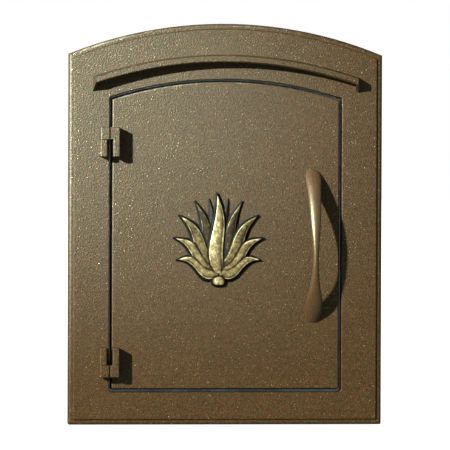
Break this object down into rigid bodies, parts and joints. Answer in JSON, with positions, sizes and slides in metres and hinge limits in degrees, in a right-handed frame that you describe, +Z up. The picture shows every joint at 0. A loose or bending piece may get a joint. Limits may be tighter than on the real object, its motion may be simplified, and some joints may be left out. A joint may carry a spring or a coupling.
{
  "type": "column mailbox",
  "caption": "Arched cast mailbox front for a masonry column: inset side-hinged door with pull handle and leaf ornament, drip hood, and a sheet-steel mail compartment behind.",
  "frame": {"origin": "bottom edge of the front plate, on its centre line, in the wall plane", "axes": "+X to the viewer's right, +Y into the wall, +Z up; the front faces -Y"},
  "size_m": [0.305, 0.4289, 0.389],
  "materials": {
    "bronze_powder_coat": "semi-gloss bronze powder coat with gold metallic flecks, on cast aluminium",
    "antique_brass": "antiqued brass, dark patina in the recesses",
    "galvanised_sheet": "galvanised sheet steel, satin",
    "stainless_steel": "satin",
    "zinc_steel": "zinc plated",
    "rivet_aluminium": "satin",
    "hinge_washer_polymer": "matte",
    "black_rubber": "matte rubber",
    "black_plastic": "matte",
    "ferrite_magnet": "matte ferrite"
  },
  "bodies": {
    "mailbox": {"faceplate": "bronze_powder_coat", "drip_hood": "bronze_powder_coat", "hood_screws": "zinc_steel", "upper_hinge_lug": "bronze_powder_coat", "lower_hinge_lug": "bronze_powder_coat", "hinge_lug_screws": "zinc_steel", "upper_hinge_pin": "stainless_steel", "lower_hinge_pin": "stainless_steel", "upper_hinge_washer": "hinge_washer_polymer", "lower_hinge_washer": "hinge_washer_polymer", "mounting_ring": "galvanised_sheet", "ring_screws": "zinc_steel", "ring_washers": "zinc_steel", "compartment_shell": "galvanised_sheet", "compartment_roof": "galvanised_sheet", "compartment_back": "galvanised_sheet", "roof_rivets": "rivet_aluminium", "back_rivets": "rivet_aluminium", "door_seal": "black_rubber", "catch_housing": "black_plastic", "catch_magnet": "ferrite_magnet", "catch_pole_plates": "zinc_steel", "catch_screws": "zinc_steel", "catch_nuts": "zinc_steel"},
    "door": {"door": "bronze_powder_coat", "upper_hinge_arm": "bronze_powder_coat", "lower_hinge_arm": "bronze_powder_coat", "hinge_arm_screws": "zinc_steel", "pull_handle": "bronze_powder_coat", "handle_screws": "zinc_steel", "handle_washers": "zinc_steel", "agave_ornament": "antique_brass", "ornament_push_nuts": "zinc_steel", "strike_plate": "zinc_steel", "strike_screw": "zinc_steel"}
  },
  "joints": [
    {"name": "door_hinge", "type": "hinge", "parent": "mailbox", "child": "door", "pos_m": [-0.119, -0.023, 0.1673], "axis": [0, 0, -1], "range_deg": [0, 170]}
  ]
}
